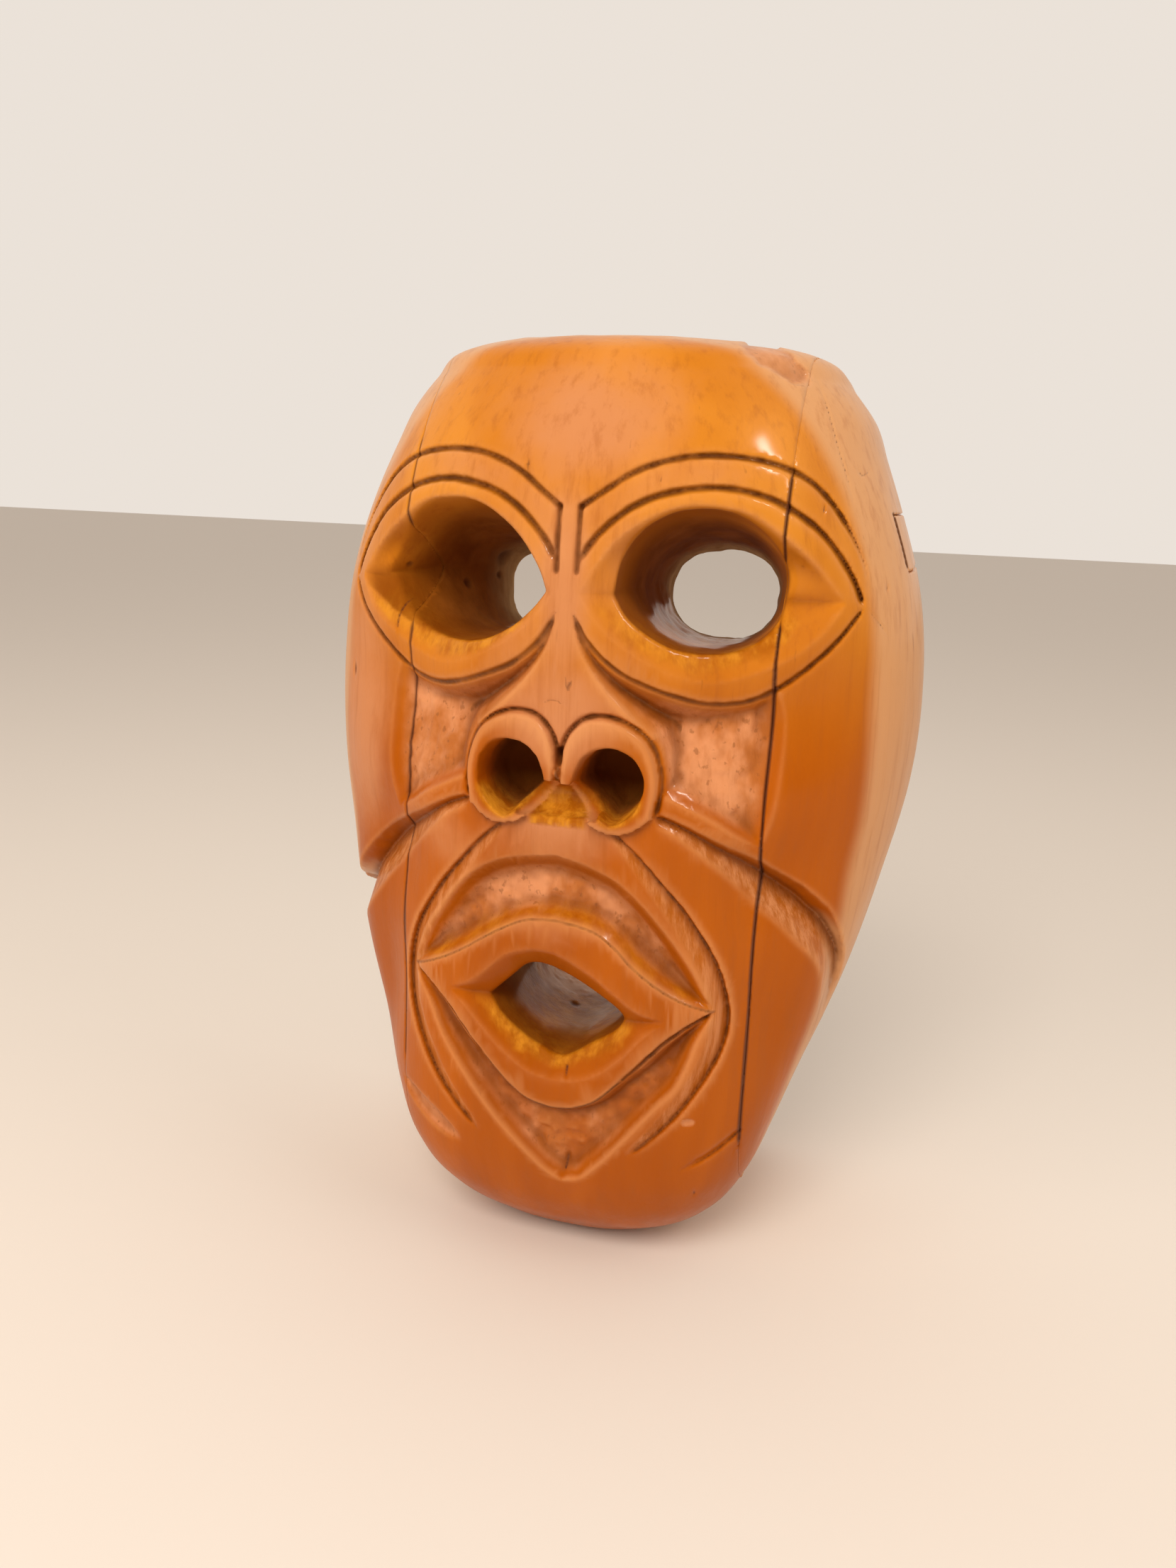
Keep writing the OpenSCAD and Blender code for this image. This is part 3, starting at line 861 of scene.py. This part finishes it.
def square_edge(verts, plane):
    """Brings the points of the cells that a cut plane crosses onto the plane, and those at the
    carved surface onto that surface too, so that a closed glue line has a crisp edge."""
    cell = np.floor((verts[:, 0] - xs[0]) / VOXEL)
    here = np.flatnonzero(cell == np.floor((plane - xs[0]) / VOXEL))
    p = verts[here]
    p[:, 0] = plane
    for _ in range(3):
        value, gy, gz = sample(p)
        steep = np.maximum(gy * gy + gz * gz, 0.15)
        move = np.where(np.abs(value) < 0.8 * VOXEL, np.clip(value / steep, -0.5, 0.5), 0)
        p[:, 1] -= move * gy
        p[:, 2] -= move * gz
    verts[here] = p


def sample(p):
    """The field and its slopes along y and z at some points."""
    def at(q):
        g = (q - (xs[0], ys[0], zs[0])) / VOXEL
        g = np.clip(g, 0, np.array(field.shape[::-1]) - 1.001)
        i = g.astype(int)
        u = (g - i).T
        total = 0
        for c in range(8):
            dx, dy, dz = c & 1, (c >> 1) & 1, c >> 2
            w = (u[0] if dx else 1 - u[0]) * (u[1] if dy else 1 - u[1]) * (u[2] if dz else 1 - u[2])
            total = total + w * field[i[:, 2] + dz, i[:, 1] + dy, i[:, 0] + dx]
        return total

    h = 0.5 * VOXEL
    gy = (at(p + (0, h, 0)) - at(p - (0, h, 0))) / (2 * h)
    gz = (at(p + (0, 0, h)) - at(p - (0, 0, h))) / (2 * h)
    return at(p), gy, gz


def peg_holes(side, seam):
    """The blind holes for the pegs across one glue line."""
    x0, x1 = sorted((seam - side * (DOWEL_IN + 0.3), seam + side * (DOWEL_OUT + 0.3)))

    def pocket(f, i0, i1):
        x = xs[i0:i1]
        for py, pz in DOWELS:
            j = np.flatnonzero(np.abs(zs - pz) < DOWEL_R + 2)
            j = slice(j[0], j[-1] + 1)
            r = np.hypot(ys[None, :, None] - py, zs[j][:, None, None] - pz) - DOWEL_R - 0.1
            bore = np.maximum(r, np.maximum(x0 - x, x - x1)[None, None, :])
            f[j] = np.maximum(f[j], -bore)
    return pocket


def patch_box(i0, i1, gap):
    """Distance outside the box that holds the temple inlay."""
    x, y, z = xs[i0:i1][None, None, :], ys[None, :, None], zs[:, None, None]
    box = np.maximum(PATCH_X + gap - x, PATCH_Y + gap - y)
    return np.maximum(box, np.maximum(PATCH_Z[0] + gap - z, z - PATCH_Z[1] + gap))


def patch_pocket(f, i0, i1):
    """The pocket for the inlay, and the open slit along the pocket's front edge."""
    np.maximum(f, -patch_box(i0, i1, 0.0), out=f)
    x, y, z = xs[i0:i1][None, None, :], ys[None, :, None], zs[:, None, None]
    slit = np.maximum(np.abs(y - PATCH_Y + 0.7) - 0.75, np.abs(z - 61.5) - 7.5)
    np.maximum(f, -np.maximum(slit, PATCH_X + 2 - x), out=f)


def inlay(name):
    """The inlay in the right temple, carved flush with the block round it."""
    i0 = int(np.searchsorted(xs, PATCH_X)) - 2
    f = np.maximum(field[:, :, i0:], patch_box(i0, len(xs), 0.2))
    return piece_from(name, *surface(f, (xs[i0], ys[0], zs[0])))


def paint_maps(obj, node):
    """Carries the plan maps to the mesh's points, for the materials."""
    n = len(obj.data.vertices)
    co = np.empty(n * 3, np.float32)
    obj.data.vertices.foreach_get("co", co)
    co = co.reshape(-1, 3) / MM + HANG
    x, y, z = co.T
    below = y - on_plan(FRONT, x, z)
    inner = below - on_plan(depth, x, z)
    tube, nose = on_plan(tube_map, x, z), on_plan(nose_map, x, z)
    hollow = on_plan(hollow_map, x, z)
    behind = np.maximum(step_up(40, 50, y) * hollow, step_up(60, 75, y))
    facing = (1 - step_up(4, 12, inner) * np.maximum(tube, nose)) * (1 - behind)
    slit = np.hypot(np.maximum(np.abs(y - PATCH_Y + 0.6) - 0.8, 0), np.maximum(np.abs(z - 61.5) - 7.5, 0))
    slit = np.where(x > PATCH_X, 0.6 * slit, 8)
    spots = np.full(n, 8.0)
    for kx, ky, kz, r in KNOTS:
        spots = np.minimum(spots, 0.5 * np.sqrt((x - kx) ** 2 + (y - ky) ** 2 + (z - kz) ** 2) / r)
    shown = (1 - step_up(10, 18, inner) * np.maximum(tube, nose)) * (1 - behind)
    crack = np.clip(on_plan(cracks, x, z), 0, 8) + 8 * (1 - shown)
    end = step_up(44, 60, y) if node != "right_cheek_block" else step_up(54, 64, y)
    end = np.where(z < -50, step_up(4, 26, y), end)
    temporal = 1 - step_up(44, 54, x)
    # painted shade on the walls inside the openings, from their edges in
    crisp, soft, top = step_up(0.1, 1.5, inner), step_up(2, 15, inner), step_up(42, 50, z)
    under = np.where(x > 0, crisp * (1 - step_up(38, 56, x)), crisp * (1 - top) + soft * top)
    under = np.where(z < -50, crisp, under)
    # Some of these maps carry painted light for the colours: shade inside the openings, on walls facing down,
    # in the hollows and deep in the nostrils, and a sheen on the forehead and towards the sides.
    maps = {
        "line": np.clip(on_plan(lines, x, z), 0, 8) + 8 * (1 - facing),
        "crack": np.minimum(np.minimum(crack, slit), spots),
        "downward_shade": on_plan(downward_shade, x, z) * facing,
        "ridge": on_plan(ridge, x, z) * facing,
        "hollow_shade": on_plan(hollow_shade, x, z) * facing,
        "rough": on_plan(rough, x, z) * facing,
        "yellow": on_plan(yellow, x, z) * (1 - step_up(7, 14, inner) * tube) * (1 - behind),
        "striate": on_plan(striate, x, z) * facing,
        "worn_and_sheen": on_plan(worn_and_sheen, x, z) * facing,
        "deep": step_up(3, 26, inner) * tube * (0.12 + 0.88 * temporal),
        "pit": step_up(4, 15, inner) * nose * (1 - behind) * (1 - step_up(32, 40, y)),
        "matt": step_up(-0.8, 1.8, inner) * step_up(0.2, 0.6, np.maximum(tube, nose)),
        "under": under * step_up(0.2, 0.6, tube),
        "side": step_up(14, 34, y) * (1 - step_up(2, 10, inner) * tube),
        "raw": np.maximum.reduce([end * step_up(6, 16, inner) * tube, step_up(56, 61, y) * hollow,
                                  step_up(BACK_Y - 1.6, BACK_Y - 0.4, y)]),
    }
    for key, values in maps.items():
        attr = obj.data.attributes.new(key, "FLOAT", "POINT")
        attr.data.foreach_set("value", values.astype(np.float32))


capped = np.minimum(depth, 16)
ridge = np.clip(blur(capped, 1.4) - capped, 0, 3)
# painted shade in the hollows and at the bottoms of the cuts
hollow_shade = np.clip(capped - blur(capped, 2.4), 0, 3)
# painted shade on the walls that face downward, away from the light above
falling = -np.gradient(blur(capped, 0.6), zs, axis=0)
downward_shade = blur(step_up(0.25, 1.0, falling), 0.6)
openings = np.minimum(np.minimum(*socket_mouths), mouth_hole) < 0.5
tube_map = blur(openings.astype(np.float32), 0.8)
hollow_map = blur((hollow_sd < 2).astype(np.float32), 0.8)
nose_map = blur((nose_sd < 0.5).astype(np.float32), 0.8)

pegs = [peg_holes(-1, SEAM_LEFT), peg_holes(1, SEAM_RIGHT)]
carved = {
    "left_cheek_block": block("carved_left_cheek_block", -200, SEAM_LEFT - SEAM_GAP, pegs[:1]),
    "centre_block": block("carved_centre_block", SEAM_LEFT + SEAM_GAP, SEAM_RIGHT - SEAM_GAP, pegs),
    "right_cheek_block": block("carved_right_cheek_block", SEAM_RIGHT + SEAM_GAP, 200,
                               pegs[1:] + [patch_pocket]),
    "temple_patch": inlay("carved_temple_patch"),
}
for node, piece in carved.items():
    paint_maps(piece, node)


# ---------------------------------------------------------------- materials
class Material:
    """A node material with short names for the nodes used below."""

    def __init__(self, name):
        self.mat = bpy.data.materials.new(name)
        self.mat.use_nodes = True
        self.nodes, self.links = self.mat.node_tree.nodes, self.mat.node_tree.links
        self.nodes.clear()
        out = self.nodes.new("ShaderNodeOutputMaterial")
        self.bsdf = self.nodes.new("ShaderNodeBsdfPrincipled")
        self.links.new(self.bsdf.outputs[0], out.inputs[0])
        self.coord = self.node("TexCoord")

    def node(self, kind, **values):
        n = self.nodes.new("ShaderNode" + kind)
        for key, value in values.items():
            setattr(n, key, value)
        return n

    def put(self, socket, value):
        if isinstance(value, (float, int)):
            socket.default_value = value
        elif isinstance(value, tuple):
            socket.default_value = (*value, 1)
        else:
            self.links.new(value, socket)

    def attr(self, name):
        return self.node("Attribute", attribute_name=name).outputs["Fac"]

    def ramp(self, value, a, b, lo=0.0, hi=1.0):
        n = self.node("MapRange", interpolation_type="SMOOTHSTEP")
        self.links.new(value, n.inputs["Value"])
        for key, v in (("From Min", a), ("From Max", b), ("To Min", lo), ("To Max", hi)):
            n.inputs[key].default_value = v
        return n.outputs["Result"]

    def mix(self, fac, a, b):
        n = self.node("Mix", data_type="RGBA")
        self.put(n.inputs[0], fac)
        self.put(n.inputs[6], a)
        self.put(n.inputs[7], b)
        return n.outputs[2]

    def maths(self, op, a, b):
        n = self.node("Math", operation=op)
        self.put(n.inputs[0], a)
        self.put(n.inputs[1], b)
        return n.outputs[0]

    def times(self, a, b):
        return self.maths("MULTIPLY", a, b)

    def noise(self, scale, stretch=(1, 1, 1), detail=4.0, rough_=0.55, distort=0.0, turn=0.0):
        m = self.node("Mapping")
        m.inputs["Scale"].default_value = stretch
        m.inputs["Rotation"].default_value = (0, turn, 0)
        self.links.new(self.coord.outputs["Object"], m.inputs["Vector"])
        n = self.node("TexNoise")
        n.inputs["Scale"].default_value = scale
        n.inputs["Detail"].default_value = detail
        n.inputs["Roughness"].default_value = rough_
        n.inputs["Distortion"].default_value = distort
        self.links.new(m.outputs[0], n.inputs["Vector"])
        return n.outputs["Fac"]

    def height(self):
        """The height in the part's frame, in metres."""
        n = self.node("SeparateXYZ")
        self.links.new(self.coord.outputs["Object"], n.inputs[0])
        return n.outputs["Z"]

    def bump(self, height, strength, distance):
        n = self.node("Bump")
        n.inputs["Strength"].default_value = strength
        n.inputs["Distance"].default_value = distance
        self.links.new(height, n.inputs["Height"])
        self.links.new(n.outputs[0], self.bsdf.inputs["Normal"])


def varnished_wood():
    m = Material("varnished_wood")
    grain = m.noise(300, (1, 1, 0.045), 5, 0.62)
    figure = m.noise(26, (1, 1, 0.14), 3, 0.5, 0.6)
    cloud = m.noise(11, (1, 1, 0.6), 3, 0.5)
    blotch = m.noise(55, (1, 1, 0.7), 4, 0.6)
    fleck = m.noise(430, (1, 1, 0.09), 2, 0.5)
    pore = m.noise(520, (1, 1, 0.8), 2, 0.5)

    # varnish: deep orange on the lower face and cheeks, lighter above; the darkening towards the bottom is
    # partly painted shade
    upper = m.mix(m.ramp(figure, 0.35, 0.68), (0.57, 0.185, 0.010), (0.67, 0.245, 0.022))
    lower = m.mix(m.ramp(figure, 0.35, 0.68), (0.37, 0.076, 0.0005), (0.46, 0.103, 0.001))
    high = m.maths("ADD", m.height(), m.times(m.maths("SUBTRACT", cloud, 0.5), 0.06))
    colour = m.mix(m.ramp(high, -0.118, -0.05), lower, upper)
    # thin varnish, and on the forehead a painted sheen
    thin_varnish_and_sheen = m.ramp(m.maths("ADD", m.attr("worn_and_sheen"), m.times(m.maths("SUBTRACT", blotch, 0.5), 0.6)), 0.22, 1.0)
    colour = m.mix(m.times(thin_varnish_and_sheen, 0.85), colour, (0.59, 0.24, 0.10))
    # lighter peach towards the sides: thinner varnish and a painted glancing sheen
    side = m.ramp(m.maths("ADD", m.attr("side"), m.times(m.maths("SUBTRACT", cloud, 0.5), 0.5)), 0.3, 0.8)
    colour = m.mix(m.times(side, 0.8), colour, (0.66, 0.35, 0.16))

    # cut faces
    floor_pink = m.mix(m.ramp(blotch, 0.38, 0.62), (0.46, 0.145, 0.034), (0.70, 0.30, 0.135))
    floor_pink = m.mix(m.times(m.ramp(pore, 0.60, 0.72), 0.5), floor_pink, (0.20, 0.07, 0.025))
    colour = m.mix(m.times(m.attr("rough"), 0.9), colour, floor_pink)
    bare = m.mix(m.ramp(m.noise(140, (1, 1, 0.35), 4, 0.65), 0.35, 0.65),
                 (0.38, 0.10, 0.002), (0.68, 0.27, 0.018))
    colour = m.mix(m.attr("yellow"), colour, bare)
    streak = m.mix(m.ramp(m.noise(420, (1, 1, 0.08), 4, 0.7), 0.36, 0.66),
                   (0.42, 0.13, 0.02), (0.72, 0.32, 0.13))
    colour = m.mix(m.times(m.attr("striate"), 0.62), colour, streak)

    # grain, flecks, lighter raised edges, painted shade in the hollows, on walls facing down and inside the
    # openings
    colour = m.mix(m.times(m.ramp(grain, 0.48, 0.74), 0.34), colour, (0.34, 0.085, 0.010))
    colour = m.mix(m.times(m.ramp(fleck, 0.72, 0.80), 0.25), colour, (0.12, 0.032, 0.006))
    colour = m.mix(m.times(m.ramp(m.attr("ridge"), 0.05, 0.8), 0.38), colour, (0.78, 0.36, 0.14))
    # painted shade on the walls that face downward
    colour = m.mix(m.times(m.attr("downward_shade"), 0.55), colour, (0.27, 0.062, 0.004))
    # painted shade in the hollows
    colour = m.mix(m.times(m.ramp(m.attr("hollow_shade"), 0.15, 1.7), 0.72), colour, (0.20, 0.045, 0.004))
    # painted shade on the walls inside the openings
    colour = m.mix(m.times(m.attr("under"), 0.78), colour, (0.205, 0.048, 0.002))
    # darker with depth inside the openings: dark wood, and painted shade
    colour = m.mix(m.times(m.attr("deep"), 0.88), colour,
                   m.mix(m.ramp(blotch, 0.35, 0.65), (0.16, 0.042, 0.005), (0.29, 0.095, 0.016)))
    raw = m.mix(m.ramp(m.noise(110, (1, 1, 0.12), 5, 0.65), 0.28, 0.72),
                (0.28, 0.15, 0.058), (0.54, 0.35, 0.17))
    colour = m.mix(m.attr("raw"), colour, raw)
    # painted shade deep in the nostrils
    colour = m.mix(m.times(m.attr("pit"), 0.9), colour, (0.15, 0.042, 0.008))
    # dark along the engraved lines, and painted shade along the creases of the under-eye slots and the folds
    dark_lines_and_crease_shade = m.ramp(m.noise(90, (1, 1, 1), 3, 0.6), 0.35, 0.65, 0.70, 1.0)
    dark_lines_and_crease_shade = m.times(dark_lines_and_crease_shade, m.ramp(m.attr("line"), 0.15, 1.1, 0.88, 0.0))
    colour = m.mix(dark_lines_and_crease_shade, colour, (0.095, 0.026, 0.005))
    colour = m.mix(m.ramp(m.attr("crack"), 0.12, 0.62, 0.85, 0.0), colour, (0.085, 0.026, 0.014))
    m.links.new(colour, m.bsdf.inputs["Base Color"])

    m.bsdf.inputs["Specular IOR Level"].default_value = 0.12
    m.bsdf.inputs["Specular Tint"].default_value = (1.0, 0.62, 0.30, 1)
    m.bsdf.inputs["Coat Roughness"].default_value = 0.13
    dull = m.maths("MAXIMUM", m.attr("raw"), m.attr("matt"))
    m.links.new(m.ramp(dull, 0.1, 0.9, 0.25, 0.0), m.bsdf.inputs["Coat Weight"])
    shine = m.ramp(m.noise(60, (1, 1, 0.4), 4, 0.6), 0.3, 0.7, 0.34, 0.50)
    m.links.new(m.maths("MAXIMUM", shine, m.times(dull, 0.9)), m.bsdf.inputs["Roughness"])
    tool = m.times(m.noise(75, (1, 1, 0.5), 4, 0.6), 0.8)
    cut = m.maths("ADD", m.attr("rough"), m.attr("yellow"))
    chatter = m.times(m.maths("ADD", cut, m.times(m.attr("deep"), 0.8)), m.noise(230, (1, 1, 0.5), 5, 0.7))
    scored = m.times(m.attr("striate"), m.noise(420, (1, 1, 0.08), 4, 0.7))
    relief = m.maths("ADD", m.maths("ADD", m.times(grain, 0.35), tool), m.maths("ADD", chatter, scored))
    m.bump(relief, 0.6, 0.0007)
    return m.mat


def plain_wood(name, light, dark, scale):
    """Unvarnished wood with its grain along X, for the pegs."""
    m = Material(name)
    grain = m.noise(scale, (0.05, 1, 1), 5, 0.62)
    tone = m.noise(60, (0.3, 1, 1), 3, 0.5)
    colour = m.mix(m.ramp(grain, 0.35, 0.68), light, dark)
    colour = m.mix(m.times(m.ramp(tone, 0.4, 0.7), 0.4), colour, dark)
    m.links.new(colour, m.bsdf.inputs["Base Color"])
    m.bsdf.inputs["Roughness"].default_value = 0.7
    m.bump(grain, 0.4, 0.0004)
    return m.mat


wood = varnished_wood()
for node, piece in carved.items():
    piece.data.materials.clear()
    piece.data.materials.append(wood)
    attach(piece, "root")
    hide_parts(node)
peg_wood = plain_wood("peg_wood", (0.55, 0.34, 0.16), (0.30, 0.16, 0.06), 700)
for node in ("left_dowels", "right_dowels"):
    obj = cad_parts[node]
    obj.data.materials.clear()
    obj.data.materials.append(peg_wood)

# ---------------------------------------------------------------- floor, light and camera
low, high = cad_box
bpy.context.scene.view_settings.view_transform = "Standard"

bpy.ops.mesh.primitive_plane_add(size=12, location=(0, 0, low[2]))
floor = bpy.context.object
floor.name = "floor"
pale = Material("pale_floor")
pale.bsdf.inputs["Base Color"].default_value = (0.80, 0.74, 0.68, 1)
pale.bsdf.inputs["Roughness"].default_value = 0.8
floor.data.materials.append(pale.mat)

world = bpy.data.worlds.new("studio")
world.use_nodes = True
sky = world.node_tree.nodes
toward = sky.new("ShaderNodeTexCoord")
parts = sky.new("ShaderNodeSeparateXYZ")
blend = sky.new("ShaderNodeMapRange")
blend.interpolation_type = "SMOOTHSTEP"
blend.inputs["From Min"].default_value = -0.5
blend.inputs["From Max"].default_value = 0.45
tones = sky.new("ShaderNodeMix")
tones.data_type = "RGBA"
tones.inputs[6].default_value = (0.38, 0.30, 0.225, 1)   # before the face
tones.inputs[7].default_value = (0.83, 0.76, 0.69, 1)   # behind it
world.node_tree.links.new(toward.outputs["Generated"], parts.inputs[0])
world.node_tree.links.new(parts.outputs["Y"], blend.inputs["Value"])
world.node_tree.links.new(blend.outputs["Result"], tones.inputs[0])
world.node_tree.links.new(tones.outputs[2], sky["Background"].inputs[0])
sky["Background"].inputs[1].default_value = 1.0
bpy.context.scene.world = world


def lamp(name, place, aim, size, power, colour, mirrored):
    """An area lamp that either lights the wood without a reflection in the varnish, or shows
    only as a reflection."""
    data = bpy.data.lights.new(name, "AREA")
    data.shape = "RECTANGLE"
    data.size, data.size_y = size
    data.energy = power
    data.color = colour
    obj = bpy.data.objects.new(name, data)
    bpy.context.scene.collection.objects.link(obj)
    obj.visible_glossy = mirrored
    obj.visible_diffuse = not mirrored
    obj.location = place
    obj.rotation_euler = (Vector(aim) - Vector(place)).to_track_quat("-Z", "Y").to_euler()


lamp("key", (-0.02, -1.02, 0.76), (0, -0.05, -0.12), (0.6, 0.6), 10.5, (1.0, 0.93, 0.84), False)
lamp("glint", (0.98, -0.28, 1.0), (0, -0.05, -0.10), (0.11, 0.22), 5, (1.0, 0.95, 0.88), True)
lamp("side", (1.10, -0.30, 0.60), (0, -0.05, -0.10), (0.8, 0.8), 3.5, (1.0, 0.95, 0.88), False)
lamp("front", (-0.80, -1.05, 0.40), (0, -0.05, -0.10), (0.8, 0.8), 5, (1.0, 0.93, 0.84), False)

EYE = Vector((0.0954, -0.4190, -0.0293))
YAW, PITCH, ROLL = math.radians(15.45), math.radians(14.0), math.radians(-2.25)


def camera_axes():
    turn = Matrix(((math.cos(YAW), math.sin(YAW), 0), (-math.sin(YAW), math.cos(YAW), 0), (0, 0, 1)))
    tip = Matrix(((1, 0, 0), (0, math.sin(PITCH), math.cos(PITCH)), (0, math.cos(PITCH), -math.sin(PITCH))))
    roll = Matrix(((math.cos(ROLL), -math.sin(ROLL), 0), (math.sin(ROLL), math.cos(ROLL), 0), (0, 0, 1)))
    return roll @ tip @ turn


right, up, ahead = camera_axes()
data = bpy.data.cameras.new("camera")
data.sensor_fit = "VERTICAL"
data.sensor_height = 36
data.lens = 27.03
data.clip_start = 0.01
camera = bpy.data.objects.new("camera", data)
bpy.context.scene.collection.objects.link(camera)
camera.matrix_world = Matrix.Translation(EYE) @ Matrix((right, up, -ahead)).transposed().to_4x4()
bpy.context.scene.camera = camera
